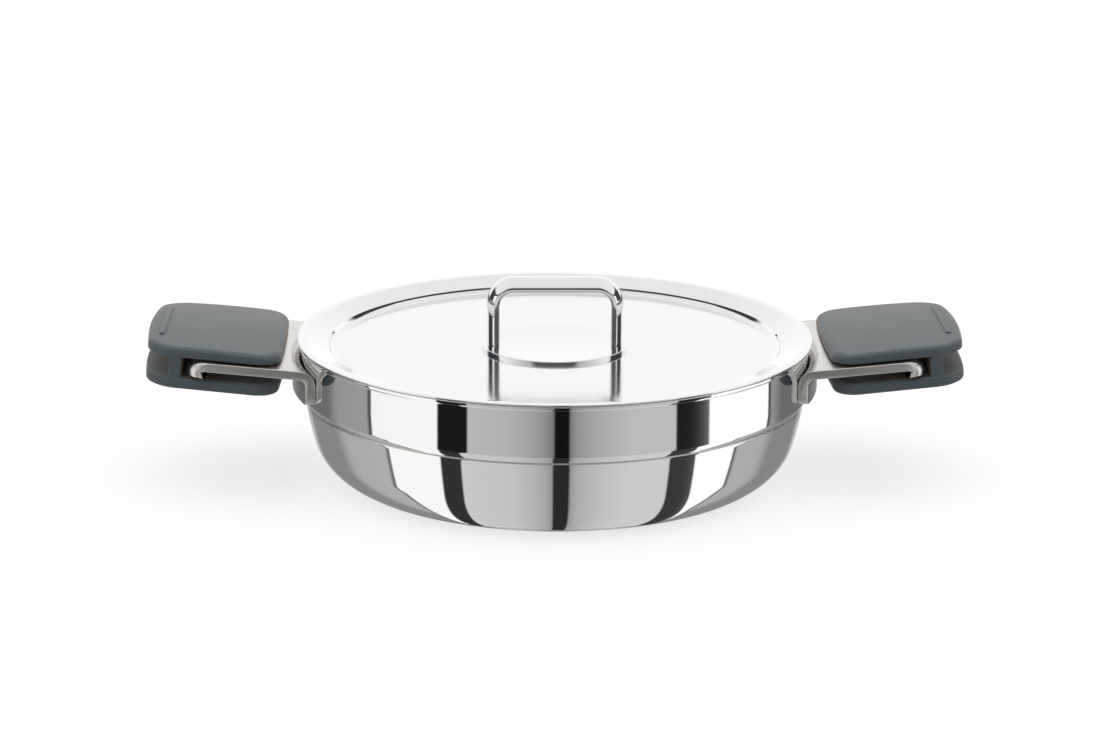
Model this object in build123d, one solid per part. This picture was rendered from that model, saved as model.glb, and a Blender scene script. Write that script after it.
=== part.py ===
"""Low two-handled pan with a lid: millimetres, +Z up, origin at the middle of the base.

The side handles lie along X. The pan wall is a pressed sheet, the base is a sandwich of the pan
floor, an aluminium disc and a steel cap, and each side handle carries a slip-on silicone grip.
"""
from build123d import *
from math import asin, atan2, cos, degrees, radians, sin, sqrt, tan
import os

# Pan wall
wall = 1.6
band_radius = 143.0
band_foot_radius = 5.0
step_depth = 2.0
step_height = 47.5
wall_arc_radius = 170.0
wall_arc_tilt = 7.0
corner_radius = 31.0
inside_corner_radius = 14.0
pan_height = 79.3

# Rolled rim of the pan
rim_bead_height = 2.7
rim_bead_overhang = 1.4
rim_bead_rounding = 1.1
rim_edge_rounding = 0.6

# Sandwich base
cap_sheet = 0.8
spreader_thickness = 4.0
cap_seam = 0.2
cap_ring_count = 4
cap_ring_width = 1.6
cap_ring_depth = 0.3

# Side handles: a flange welded to the band, a plate that rises outwards and a lip turned down
handle_sheet = 5.0
handle_half_width = 54.0
handle_rise = 5.3
handle_root_reach = 7.0
handle_root_drop = 5.3
handle_length = 55.8
handle_corner_radius = 10.0
handle_weld_gap = 0.15
flange_depth = 20.6
flange_corner_radius = 4.0
flange_bend_radius = 3.5
lip_depth = 10.5
lip_lean = 18.0
lip_bend_radius = 1.5
lip_corner_radius = 8.0

# Slip-on grips, sized along the plates that they slide over
grip_start = 1.4
grip_overhang = 22.2
grip_side_inset = 2.0
grip_taper = 2.5
grip_inner_corner = 13.0
grip_outer_corner = 16.0
grip_start_bulge = 1.5
grip_end_bulge = 4.0
grip_top_gap = 0.9
grip_side_height = 5.7
grip_crown_across = 2.5
grip_crown_along = 1.2
grip_top_rounding = 2.4
grip_edge_rounding = 0.8
grip_low_gap = 0.4
grip_low_thickness = 6.2
tray_depth = 1.8
tray_rim = 4.5
tray_corner_radius = 6.0
web_gap = 0.5
web_thickness = 6.6
web_inset = 0.6
rib_length = 58.0
rib_width = 3.0
rib_height = 1.0
rib_rounding = 0.6
rib_end_margin = 8.5

# Lid
lid_overhang = 0.6
lid_sheet = 0.9
lid_clearance = 0.3
lid_seat_width = 4.8
lid_flange_width = 12.6
lid_flange_drop = 4.1
lid_recess_slope = 1.6
lid_panel_drop = 7.5
lid_crest_rounding = 8.0
lid_inner_edge_rounding = 1.3
lid_panel_rounding = 2.2
lid_edge_rounding = 0.35

# Lid handle, a strap with a flat inside and a domed outside
bail_width = 77.0
bail_depth = 20.0
bail_edge = 3.0
bail_dome = 4.2
bail_height = 40.5
bail_inner_corner = 8.0
bail_edge_rounding = 0.6

# Dished disc under the lid handle
disc_margin = 2.8
disc_rim_height = 2.1
disc_rim_width = 1.3
disc_dish_depth = 1.1
disc_rim_rounding = 0.5

# One overrun serves all cuts, and one tolerance serves all picking of edges by place
overrun = 5.0
pick_tolerance = 0.05

# Heights and radii worked out from the sizes above
step_radius = band_radius - step_depth
base_stack = cap_sheet + spreader_thickness
rim_radius = band_radius + rim_bead_overhang
rim_crease_height = pan_height - rim_bead_height
lid_radius = rim_radius + lid_overhang
lid_seat_radius = lid_radius - lid_seat_width
lid_flange_inner_radius = lid_seat_radius - lid_flange_width
lid_panel_radius = lid_flange_inner_radius - lid_recess_slope
lid_top = pan_height + lid_clearance + lid_sheet
panel_top = lid_top - lid_panel_drop
bail_thickness = bail_edge + bail_dome
disc_radius = bail_width / 2 + disc_margin
handle_root_x = band_radius + handle_root_reach
handle_root_height = pan_height - handle_root_drop
flange_foot_height = handle_root_height - flange_depth
flange_inner_radius = band_radius + handle_weld_gap
flange_outer_radius = flange_inner_radius + handle_sheet
grip_end = handle_length + grip_overhang
grip_half_width = handle_half_width - grip_side_inset
grip_low_top = -lip_depth - grip_low_gap
grip_crest = grip_top_gap + grip_side_height + grip_crown_across
web_start = handle_length + web_gap


def arc_point(centre, radius, angle):
    """Point on an arc; the angle is in degrees above the outward direction."""
    return (centre[0] + radius * cos(radians(angle)), centre[1] + radius * sin(radians(angle)))


def angle_to(centre, point):
    """Angle of a point seen from an arc's centre, in degrees above the outward direction."""
    return degrees(atan2(point[1] - centre[1], point[0] - centre[0]))


def arc_between(centre, radius, start, end):
    """Short arc about a centre between two of its points."""
    middle = (angle_to(centre, start) + angle_to(centre, end)) / 2
    return ThreePointArc(start, arc_point(centre, radius, middle), end)


def arc_sagitta_radius(half_width, rise):
    """Radius of the arc that rises by so much over a half width."""
    return (half_width ** 2 + rise ** 2) / (2 * rise)


def turned(*edges):
    """Solid of revolution about the pan's axis, from edges drawn as (radius, height) pairs."""
    face = Plane.XZ * make_face(Wire(list(edges)))
    return revolve(face, axis=Axis.Z, revolution_arc=360)


def turned_polygon(*points):
    """Solid of revolution about the pan's axis, from the corners of its section."""
    return revolve(Plane.XZ * make_face(Polyline(*points, close=True)), axis=Axis.Z, revolution_arc=360)


def rings(solid, height, least_radius=0):
    """Circular edges of a turned solid at one height, outside a least radius."""
    def chosen(edge):
        level = abs(edge.center(CenterOf.BOUNDING_BOX).Z - height) < pick_tolerance
        return level and edge.radius > least_radius
    return solid.edges().filter_by(GeomType.CIRCLE).filter_by(chosen)


def wall_centres():
    """Centres of the three tangent or meeting arcs of the wall: band foot, long arc, base corner."""
    foot_x = band_radius - band_foot_radius
    foot = (foot_x, step_height + sqrt(band_foot_radius ** 2 - (step_radius - foot_x) ** 2))
    long = (step_radius - wall_arc_radius * cos(radians(wall_arc_tilt)),
            step_height + wall_arc_radius * sin(radians(wall_arc_tilt)))
    reach = wall_arc_radius - corner_radius
    corner = (long[0] + sqrt(reach ** 2 - (long[1] - corner_radius) ** 2), corner_radius)
    return foot, long, corner


def circles_meet(centre_a, radius_a, centre_b, radius_b):
    """The meeting point of two circles that lies further from the pan's axis."""
    span_x = centre_b[0] - centre_a[0]
    span_z = centre_b[1] - centre_a[1]
    span = sqrt(span_x ** 2 + span_z ** 2)
    along = (radius_a ** 2 - radius_b ** 2 + span ** 2) / (2 * span)
    aside = sqrt(radius_a ** 2 - along ** 2)
    middle_x = centre_a[0] + along * span_x / span
    middle_z = centre_a[1] + along * span_z / span
    first = (middle_x + aside * span_z / span, middle_z - aside * span_x / span)
    second = (middle_x - aside * span_z / span, middle_z + aside * span_x / span)
    return max(first, second)


def corner_arc_end(inset, height):
    """Point of the base corner's arc, moved in by inset, at one height."""
    centre = wall_centres()[2]
    radius = corner_radius - inset
    return arc_point(centre, radius, -degrees(asin((centre[1] - height) / radius)))


def wall_skin(inset, floor_height):
    """Edges of the wall's skin, moved in by inset, from the floor up to the rim."""
    foot, long, corner = wall_centres()
    start = corner_arc_end(inset, floor_height)
    joint = arc_point(corner, corner_radius - inset, angle_to(long, corner))
    crease = circles_meet(foot, band_foot_radius - inset, long, wall_arc_radius - inset)
    band_start = (band_radius - inset, foot[1])
    band_end = (band_radius - inset, pan_height)
    edges = [
        arc_between(corner, corner_radius - inset, start, joint),
        arc_between(long, wall_arc_radius - inset, joint, crease),
        arc_between(foot, band_foot_radius - inset, crease, band_start),
        Line(band_start, band_end),
    ]
    return edges, start, band_end


def pan_body():
    """Pressed pan: floor, round corner, stepped wall and rolled rim, one sheet thick."""
    inside_floor = base_stack + wall
    outer, outer_start, outer_end = wall_skin(0, base_stack)
    inner, inner_start, inner_end = wall_skin(wall, inside_floor)
    floor_under = Line((0, base_stack), outer_start)
    floor_over = Line(inner_start, (0, inside_floor))
    axis_line = Line((0, inside_floor), (0, base_stack))
    pan = turned(floor_under, *outer, Line(outer_end, inner_end), *inner, floor_over, axis_line)
    pan = fillet(rings(pan, inside_floor), inside_corner_radius)
    middle_radius = band_radius - wall / 2
    pan += turned_polygon((middle_radius, rim_crease_height), (rim_radius, rim_crease_height),
                          (rim_radius, pan_height), (middle_radius, pan_height))
    pan = fillet(rings(pan, rim_crease_height, band_radius + rim_bead_overhang / 2), rim_bead_rounding)
    return fillet(rings(pan, pan_height), rim_edge_rounding)


def heat_spreader():
    """Aluminium disc that fills the steel cap and meets the underside of the pan floor."""
    centre = wall_centres()[2]
    under = (centre[0], cap_sheet)
    over = corner_arc_end(cap_sheet, base_stack)
    return turned(Line((0, cap_sheet), under), arc_between(centre, corner_radius - cap_sheet, under, over),
                  Line(over, (0, base_stack)), Line((0, base_stack), (0, cap_sheet)))


def base_cap():
    """Magnetic steel cap: its skin runs on from the wall's corner, with shallow rings underneath."""
    centre = wall_centres()[2]
    edge_height = base_stack - cap_seam
    outer_low = (centre[0], 0)
    outer_high = corner_arc_end(0, edge_height)
    inner_low = (centre[0], cap_sheet)
    inner_high = corner_arc_end(cap_sheet, edge_height)
    cap = turned(Line((0, 0), outer_low), arc_between(centre, corner_radius, outer_low, outer_high),
                 Line(outer_high, inner_high),
                 arc_between(centre, corner_radius - cap_sheet, inner_high, inner_low),
                 Line(inner_low, (0, cap_sheet)), Line((0, cap_sheet), (0, 0)))
    pitch = centre[0] / (cap_ring_count + 1)
    for number in range(1, cap_ring_count + 1):
        inside = number * pitch
        outside = inside + cap_ring_width
        cap -= turned_polygon((inside, -overrun), (outside, -overrun), (outside, cap_ring_depth),
                              (inside, cap_ring_depth))
    return cap


def plate_frame():
    """Place of a side handle's plate: origin on its top face, X outwards, Z square to the plate."""
    return Pos(handle_root_x, 0, handle_root_height) * Rot(0, -handle_rise, 0)


def corners_at(face, x):
    """Corners of a flat face at one place along X."""
    return face.vertices().filter_by_position(Axis.X, x - pick_tolerance, x + pick_tolerance)


def grip_outline(inset=0):
    """Plan shape of both pads of a grip, moved in by inset: bulged ends and sides that close outwards."""
    inner = grip_start + inset + grip_start_bulge
    outer = grip_end - inset - grip_end_bulge
    wide = grip_half_width - inset
    narrow = wide - grip_taper
    face = make_face([
        Line((inner, -wide), (outer, -narrow)),
        ThreePointArc((outer, -narrow), (grip_end - inset, 0), (outer, narrow)),
        Line((outer, narrow), (inner, wide)),
        ThreePointArc((inner, wide), (grip_start + inset, 0), (inner, -wide)),
    ])
    face = fillet(corners_at(face, inner), grip_inner_corner - inset)
    return fillet(corners_at(face, outer), grip_outer_corner - inset)


def plate_section():
    """Side view of the plate and its turned-down lip, with the bend rounded inside and out."""
    side_radius = sqrt(flange_inner_radius ** 2 - handle_half_width ** 2)
    start = side_radius - handle_root_x - overrun
    lean = tan(radians(lip_lean))
    lip_foot = handle_length - lip_depth * lean
    lip_across = handle_sheet / cos(radians(lip_lean))
    lip_inside = handle_length - handle_sheet * lean - lip_across
    face = make_face(Polyline(
        (start, 0), (handle_length, 0), (lip_foot, -lip_depth), (lip_foot - lip_across, -lip_depth),
        (lip_inside, -handle_sheet), (start, -handle_sheet), close=True))
    inside = face.vertices().sort_by_distance((lip_inside, -handle_sheet))[0]
    face = fillet(inside, lip_bend_radius)
    outside = face.vertices().sort_by_distance((handle_length, 0))[0]
    return fillet(outside, lip_bend_radius + handle_sheet)


def handle_plate():
    """Rising plate with its lip, both round at their corners, cut to the curve of the flange's inside."""
    strip = extrude(Plane.XZ * plate_section(), handle_half_width + overrun, both=True)
    outline = Pos(handle_length, 0) * Rectangle(
        handle_root_x + handle_length, 2 * handle_half_width, align=(Align.MAX, Align.CENTER))
    outline = fillet(outline.vertices().group_by(Axis.X)[-1], handle_corner_radius)
    plate = strip & extrude(outline, 2 * lip_depth, both=True)
    lip_block = Box(2 * handle_sheet, 3 * handle_half_width, 3 * lip_depth)
    lip_shape = Rectangle(2 * handle_half_width, 2 * lip_depth)
    lip_shape = extrude(Plane.YZ * fillet(lip_shape.vertices(), lip_corner_radius), lip_depth, both=True)
    plate = plate_frame() * (plate - Pos(handle_length, 0) * (lip_block - lip_shape))
    return plate - Cylinder(flange_inner_radius, 2 * (handle_root_height + overrun))


def handle_flange():
    """Curved flange against the band, trimmed to the plate's width and under the plate's top face."""
    tall = handle_root_height + overrun
    shell = Cylinder(flange_outer_radius, tall) - Cylinder(flange_inner_radius, tall)
    span = Box(flange_outer_radius, 2 * handle_half_width, flange_depth,
               align=(Align.MIN, Align.CENTER, Align.MIN))
    flange = Pos(0, 0, tall / 2) * shell & Pos(0, 0, flange_foot_height) * span
    above = Box(2 * handle_root_x, 4 * handle_half_width, tall,
                align=(Align.CENTER, Align.CENTER, Align.MIN))
    return flange - plate_frame() * above


def bend_edge(handle, radius, level):
    """The long curved edge where the plate meets the flange, at one face of each."""
    target = (plate_frame() * Pos(radius - handle_root_x, 0, level)).position
    long_edges = handle.edges().filter_by(lambda edge: edge.length > handle_half_width)
    return long_edges.sort_by_distance(target)[0]


def is_foot_corner(edge):
    """True for the two edges through the sheet at the flange's lower corners."""
    return edge.length < handle_sheet * 2 and edge.center().Z < flange_foot_height + pick_tolerance


def side_handle():
    """Bent plate handle with rounded bends and corners."""
    handle = handle_plate() + handle_flange()
    handle = fillet(bend_edge(handle, flange_outer_radius, -handle_sheet), flange_bend_radius)
    handle = fillet(bend_edge(handle, flange_inner_radius, 0), flange_bend_radius + handle_sheet)
    return fillet(handle.edges().filter_by(is_foot_corner), flange_corner_radius)


def crown(lift):
    """Solid under a doubly curved crown, lifted by so much, to trim a pad or a rib."""
    half_length = (grip_end - grip_start) / 2
    middle = grip_start + half_length
    across = arc_sagitta_radius(grip_half_width, grip_crown_across)
    along = arc_sagitta_radius(half_length, grip_crown_along)
    crest = grip_crest + lift
    reach = half_length + overrun
    drop = along - sqrt(along ** 2 - reach ** 2)
    start = (middle - reach, crest - drop)
    end = (middle + reach, crest - drop)
    face = make_face([
        ThreePointArc(start, (middle, crest), end),
        Polyline(end, (middle + reach, -grip_crest), (middle - reach, -grip_crest), start),
    ])
    arc = 2 * degrees(asin((grip_half_width + overrun) / across))
    axis = Axis((0, 0, crest - across), (1, 0, 0))
    solid = revolve(Plane.XZ * face, axis=axis, revolution_arc=arc)
    return solid.rotate(axis, -arc / 2)


def upper_pad():
    """Crowned upper pad with its raised rib near the outer end."""
    blank = Pos(0, 0, grip_top_gap) * extrude(grip_outline(), grip_crest + overrun)
    pad = blank & crown(0)
    pad = fillet(pad.faces().sort_by(Axis.Z)[-1].edges(), grip_top_rounding)
    pad = fillet(pad.faces().sort_by(Axis.Z)[0].edges(), grip_edge_rounding)
    rib_outline = RectangleRounded(rib_width, rib_length, rib_rounding)
    rib = Pos(grip_end - rib_end_margin, 0, grip_side_height) * extrude(rib_outline, grip_crest)
    return pad + (rib & crown(rib_height))


def lower_pad():
    """Flat lower pad with a shallow tray facing the plate."""
    pad = Pos(0, 0, grip_low_top - grip_low_thickness) * extrude(grip_outline(), grip_low_thickness)
    pad = fillet(pad.faces().sort_by(Axis.Z)[0].edges(), grip_top_rounding)
    pad = fillet(pad.faces().sort_by(Axis.Z)[-1].edges(), grip_edge_rounding)
    tray_start = grip_start + tray_rim
    tray_length = handle_length - handle_sheet - tray_start
    tray = RectangleRounded(tray_length, 2 * (grip_half_width - tray_rim), tray_corner_radius)
    tray_place = Pos(tray_start + tray_length / 2, 0, grip_low_top - tray_depth)
    return pad - tray_place * extrude(tray, tray_depth + overrun)


def grip():
    """Slip-on grip: an upper and a lower pad joined by a web just past the plate's end."""
    low = grip_low_top - grip_low_thickness / 2
    high = grip_top_gap + grip_side_height / 2
    web = Pos(web_start, 0, low) * Box(web_thickness, 2 * (grip_half_width - web_inset), high - low,
                                       align=(Align.MIN, Align.CENTER, Align.MIN))
    web &= Pos(0, 0, low) * extrude(grip_outline(web_inset), high - low)
    return plate_frame() * (upper_pad() + lower_pad() + web)


def mirrored(solid):
    """The same piece on the other side of the pan, half a turn round."""
    return Rot(0, 0, 180) * solid


def lid():
    """Pressed lid: a flat seat, a flange that slopes in and a sunk flat panel, one sheet thick."""
    top = FilletPolyline(
        (0, panel_top), (lid_panel_radius, panel_top), (lid_flange_inner_radius, lid_top - lid_flange_drop),
        (lid_seat_radius, lid_top), (lid_radius, lid_top),
        radius=[lid_panel_rounding, lid_inner_edge_rounding, lid_crest_rounding])
    band = top.wire().offset_2d(lid_sheet, side=Side.RIGHT, closed=True)
    solid = revolve(Plane.XZ * make_face(band), axis=Axis.Z, revolution_arc=360)
    rim = rings(solid, lid_top, lid_seat_radius) + rings(solid, lid_top - lid_sheet, lid_seat_radius)
    return fillet(rim, lid_edge_rounding)


def lid_handle_disc():
    """Disc with a narrow rim and a shallow dish, seated on the lid's panel."""
    rim_top = panel_top + disc_rim_height
    dish_edge = (disc_radius - disc_rim_width, rim_top)
    dish_radius = arc_sagitta_radius(dish_edge[0], disc_dish_depth)
    dish_centre = (0, rim_top - disc_dish_depth + dish_radius)
    dish_bottom = (0, rim_top - disc_dish_depth)
    disc = turned(
        Line((0, panel_top), (disc_radius, panel_top)),
        Line((disc_radius, panel_top), (disc_radius, rim_top)),
        Line((disc_radius, rim_top), dish_edge),
        arc_between(dish_centre, dish_radius, dish_edge, dish_bottom),
        Line(dish_bottom, (0, panel_top)))
    return fillet(rings(disc, rim_top), disc_rim_rounding)


def lid_handle():
    """Strap handle that stands on the disc: legs, round corners and a straight top."""
    leg = bail_width / 2 - bail_thickness
    foot = panel_top + (disc_rim_height - disc_dish_depth) / 2
    inside_top = panel_top + bail_height - bail_thickness
    path = FilletPolyline((-leg, foot), (-leg, inside_top), (leg, inside_top), (leg, foot),
                          radius=bail_inner_corner)
    half = bail_depth / 2
    face = make_face([
        Polyline((-bail_edge, -half), (0, -half), (0, half), (-bail_edge, half)),
        ThreePointArc((-bail_edge, half), (-bail_thickness, 0), (-bail_edge, -half)),
    ])
    face = fillet(face.vertices(), bail_edge_rounding)
    strap = sweep(Pos(-leg, 0, foot) * face, path=Plane.XZ * path)
    return strap - lid_handle_disc()


parts = {
    "pan_body": pan_body(),
    "heat_spreader": heat_spreader(),
    "base_cap": base_cap(),
    "right_handle": side_handle(),
    "left_handle": mirrored(side_handle()),
    "right_grip": grip(),
    "left_grip": mirrored(grip()),
    "lid": lid(),
    "lid_handle_disc": lid_handle_disc(),
    "lid_handle": lid_handle(),
}

os.makedirs("parts", exist_ok=True)
for name, solid in parts.items():
    export_step(solid, f"parts/{name}.step")
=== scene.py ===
"""Looks of a low steel pan with a lid and two slip-on grips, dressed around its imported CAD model."""

from math import acos, asin, atan2, ceil, cos, degrees, hypot, pi, radians, sin, sqrt, tan

import bmesh
import bpy
from bpy.props import FloatProperty, FloatVectorProperty, IntProperty, PointerProperty
from mathutils import Matrix, Vector


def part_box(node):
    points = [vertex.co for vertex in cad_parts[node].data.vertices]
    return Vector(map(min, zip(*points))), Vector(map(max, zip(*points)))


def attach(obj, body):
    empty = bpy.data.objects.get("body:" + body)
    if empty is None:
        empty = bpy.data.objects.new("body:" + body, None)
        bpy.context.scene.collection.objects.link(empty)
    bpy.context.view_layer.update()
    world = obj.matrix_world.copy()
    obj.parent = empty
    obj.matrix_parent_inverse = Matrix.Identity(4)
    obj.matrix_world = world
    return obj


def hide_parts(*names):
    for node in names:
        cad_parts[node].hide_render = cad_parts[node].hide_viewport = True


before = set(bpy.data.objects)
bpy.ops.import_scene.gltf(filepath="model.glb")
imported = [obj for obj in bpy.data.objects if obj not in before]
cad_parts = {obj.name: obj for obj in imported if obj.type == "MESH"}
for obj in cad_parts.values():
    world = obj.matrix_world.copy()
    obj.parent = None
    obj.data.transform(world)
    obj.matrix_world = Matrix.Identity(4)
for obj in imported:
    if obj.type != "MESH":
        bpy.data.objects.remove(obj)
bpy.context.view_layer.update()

bl_info = {
    "name": "Lidded low pan",
    "version": (1, 0, 0),
    "blender": (4, 5, 0),
    "location": "3D View > Sidebar > Pan",
    "description": "Builds the polished pan, its lid, handles and grips, and a plain studio",
    "category": "Object",
}

# Levels and radii read from the frame, in metres
pan_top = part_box("pan_body")[1].z
rim_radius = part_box("pan_body")[1].x
base_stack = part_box("pan_body")[0].z
cap_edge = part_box("base_cap")[1].z
lid_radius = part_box("lid")[1].x
lid_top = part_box("lid")[1].z
panel_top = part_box("lid_handle_disc")[0].z
disc_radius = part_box("lid_handle_disc")[1].x
disc_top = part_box("lid_handle_disc")[1].z
bail_half_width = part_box("lid_handle")[1].x
bail_half_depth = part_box("lid_handle")[1].y
bail_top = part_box("lid_handle")[1].z

# Points nearer than this are one
seam = 1e-6


def size(name, description, value):
    """Length property whose default is given in millimetres."""
    return FloatProperty(name=name, description=description, default=value / 1000, unit="LENGTH")


def slant(name, description, value):
    """Angle property whose default is given in degrees."""
    return FloatProperty(name=name, description=description, default=radians(value), subtype="ANGLE")


def shade(name, description, value):
    """Colour property."""
    return FloatVectorProperty(name=name, description=description, default=value, subtype="COLOR")


class PanSizes(bpy.types.PropertyGroup):
    """Sizes of the pressed and turned pieces, written here in millimetres."""
    wall: size("Wall", "Sheet thickness of the pan", 1.6)
    bead_overhang: size("Bead overhang", "How far the rolled rim stands out", 1.4)
    bead_height: size("Bead height", "Height of the rolled rim", 2.7)
    bead_rounding: size("Bead rounding", "Rounding under the rolled rim", 1.1)
    rim_rounding: size("Rim rounding", "Rounding on top of the rim", 0.6)
    step_depth: size("Step depth", "How far the lower wall sits in", 2.0)
    step_height: size("Step height", "Height of the crease in the wall", 47.5)
    band_foot: size("Band foot radius", "Arc at the foot of the band", 5.0)
    crease_rounding: size("Crease rounding", "Shoulder of the lower wall at the crease", 0.6)
    wall_arc: size("Wall arc radius", "Arc of the lower wall", 170.0)
    wall_tilt: slant("Wall tilt", "Lean of the lower wall at the crease", 7.0)
    corner: size("Corner radius", "Arc between wall and base", 31.0)
    inside_corner: size("Inside corner radius", "Arc between wall and floor inside", 14.0)
    cap_sheet: size("Cap sheet", "Sheet thickness of the base cap", 0.8)
    ring_count: IntProperty(
        name="Base rings", description="Shallow rings turned in the base", default=4, min=0)
    ring_width: size("Ring width", "Width of one base ring", 1.6)
    ring_depth: size("Ring depth", "Depth of one base ring", 0.3)
    lid_sheet: size("Lid sheet", "Sheet thickness of the lid", 0.9)
    lid_seat_width: size("Lid seat width", "Flat edge of the lid", 4.8)
    lid_shoulder: size("Lid shoulder", "Arc between the flat edge and the sloping ring", 8.0)
    lid_flange_width: size("Lid flange width", "Sloping ring of the lid", 12.6)
    lid_flange_drop: size("Lid flange drop", "Fall of the sloping ring", 4.1)
    lid_recess_lip: size("Lid recess lip", "Rounding on top of the recess wall", 0.5)
    lid_recess_slope: size("Lid recess slope", "Lean of the recess wall", 1.6)
    lid_recess_foot: size("Lid recess foot", "Arc between the recess wall and the panel", 4.0)
    segments: IntProperty(name="Segments", description="Faces round each turned piece", default=288, min=48)


class HandleSizes(bpy.types.PropertyGroup):
    """Sizes of the lid handle with its disc and of the side handles, written here in millimetres."""
    strap_edge: size("Strap edge", "Thickness of the strap at its sides", 3.0)
    strap_dome: size("Strap dome", "Rise of the strap's round outside", 4.2)
    strap_inner_corner: size("Strap inner corner", "Inside radius of the strap's bends", 8.0)
    strap_rounding: size("Strap rounding", "Rounding along the strap's edges", 0.6)
    disc_rim_width: size("Disc rim width", "Flat rim of the disc", 1.3)
    disc_dish: size("Disc dish", "Depth of the dish in the disc", 1.1)
    disc_rounding: size("Disc rounding", "Rounding on the disc's rim", 0.5)
    sheet: size("Plate", "Thickness of the side handles' plates", 5.0)
    half_width: size("Plate half width", "Half of a side handle's width", 54.0)
    length: size("Plate length", "Length of a plate from its inner end to its lip", 55.8)
    corner: size("Plate corner", "Plan radius of a plate's outer corners", 10.0)
    weld_gap: size("Weld gap", "Gap between a flange and the pan", 0.15)
    flange_foot: size("Flange foot", "Height of a flange's lower edge", 53.4)
    flange_corner: size("Flange corner", "Radius of a flange's lower corners", 4.0)
    flange_bend: size("Flange bend", "Inside radius between plate and flange", 3.5)
    lip_depth: size("Lip depth", "Depth of the lip under the plate's top", 10.5)
    lip_sheet: size("Lip", "Thickness of the lip", 2.2)
    lip_bend: size("Lip bend", "Inside radius between plate and lip", 1.5)
    lip_corner: size("Lip corner", "Radius of the lip's lower corners", 8.0)
    lip_lean: slant("Lip lean", "Lean of the lip back under the plate", 18.0)
    plate_edge: size("Plate edge", "Rounding on the cut edges of the side handles", 0.5)


class GripSizes(bpy.types.PropertyGroup):
    """Sizes of the grips, along, across and square to the plate that they slide over."""
    plate_rise: slant("Plate rise", "Angle at which the plate rises outwards", 5.3)
    plate_root: size("Plate root", "Distance from the axis to the plate's inner end", 150.0)
    plate_level: size("Plate level", "Height of the plate's top at its inner end", 74.0)
    start: size("Start", "Where the grip begins along the plate", 1.4)
    end: size("End", "Where the grip ends along the plate", 78.0)
    half_width: size("Half width", "Half of the grip's width at its inner end", 52.0)
    taper: size("Taper", "How far each side closes in towards the outer end", 2.5)
    inner_corner: size("Inner corner", "Plan radius of the inner corners", 13.0)
    outer_corner: size("Outer corner", "Plan radius of the outer corners", 16.0)
    start_bulge: size("Inner bulge", "Bow of the inner end", 1.5)
    end_bulge: size("Outer bulge", "Bow of the outer end", 4.0)
    top_gap: size("Top gap", "Gap between the plate and the upper pad", 0.9)
    crest: size("Crest", "Highest level of the upper pad over the plate", 9.1)
    crown_across: size("Crown across", "Fall of the crown towards the sides", 2.5)
    crown_along: size("Crown along", "Fall of the crown towards the ends", 1.2)
    rounding: size("Rounding", "Rounding on the outer edges of both pads", 2.4)
    roll: size("Roll", "Rounding on the inner end of the upper pad", 4.6)
    edge: size("Edge", "Rounding on the edges that face the plate", 0.8)
    low_top: size("Lower pad level", "Level of the lower pad's top under the plate", -10.9)
    low_thickness: size("Lower pad thickness", "Thickness of the lower pad", 6.2)
    tray_depth: size("Tray depth", "Depth of the tray in the lower pad", 1.8)
    tray_rim: size("Tray rim", "Width of the rim round the tray", 4.5)
    tray_end: size("Tray end", "Where the tray ends along the plate", 50.8)
    web_start: size("Web start", "Where the web between the pads begins", 56.3)
    web_thickness: size("Web thickness", "Thickness of the web", 6.6)
    web_inset: size("Web inset", "How far the web stands in from the sides", 0.6)
    rib_length: size("Rib length", "Length of the raised rib", 58.0)
    rib_width: size("Rib width", "Width of the raised rib", 3.0)
    rib_height: size("Rib height", "Height of the raised rib", 1.0)
    rib_margin: size("Rib margin", "Distance from the outer end to the rib", 8.5)
    rib_rounding: size("Rib rounding", "Rounding on the rib's top edges", 0.7)


class Finishes(bpy.types.PropertyGroup):
    """Colours of the finishes."""
    steel: shade("Steel", "Colour of the polished steel", (0.872, 0.87, 0.862))
    brushed: shade("Brushed steel", "Colour of the brushed and satin steel", (0.72, 0.70, 0.67))
    aluminium: shade("Aluminium", "Colour of the heat spreader", (0.77, 0.78, 0.78))
    silicone: shade("Silicone", "Colour of the grips", (0.07, 0.095, 0.106))


def on_arc(centre, radius, angle):
    """Point of an arc at an angle, in degrees above the outward direction."""
    return centre[0] + radius * cos(radians(angle)), centre[1] + radius * sin(radians(angle))


def arc(centre, radius, start, end, step=2.0):
    """Points of an arc from one angle to another."""
    count = max(2, ceil(abs(end - start) / step) + 1)
    return [on_arc(centre, radius, start + (end - start) * number / (count - 1)) for number in range(count)]


def rounded(points, radii, closed=False, step=9.0):
    """Points of an outline with each corner replaced by an arc of its own radius; 0 keeps it sharp."""
    outline = []
    count = len(points)
    for number, (point, radius) in enumerate(zip(points, radii)):
        at_end = not closed and number in (0, count - 1)
        if radius == 0 or at_end:
            outline.append(tuple(point))
            continue
        corner = Vector(point)
        back = (Vector(points[number - 1]) - corner).normalized()
        ahead = (Vector(points[(number + 1) % count]) - corner).normalized()
        half = acos(max(-1.0, min(1.0, back.dot(ahead)))) / 2
        centre = corner + (back + ahead).normalized() * radius / sin(half)
        reach = radius * cos(half) / sin(half)
        first = corner + back * reach - centre
        last = corner + ahead * reach - centre
        turn = first.angle_signed(last)
        steps = max(2, ceil(degrees(abs(turn)) / step))
        for part in range(steps + 1):
            outline.append(tuple(centre + Matrix.Rotation(-turn * part / steps, 2) @ first))
    return outline


def angle_to(centre, point):
    """Angle of a point seen from an arc's centre, in degrees above the outward direction."""
    return degrees(atan2(point[1] - centre[1], point[0] - centre[0]))


def spread(start, end, count):
    """Points spaced evenly between two ends, both left out."""
    return [(start[0] + (end[0] - start[0]) * number / (count + 1),
             start[1] + (end[1] - start[1]) * number / (count + 1)) for number in range(1, count + 1)]


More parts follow.
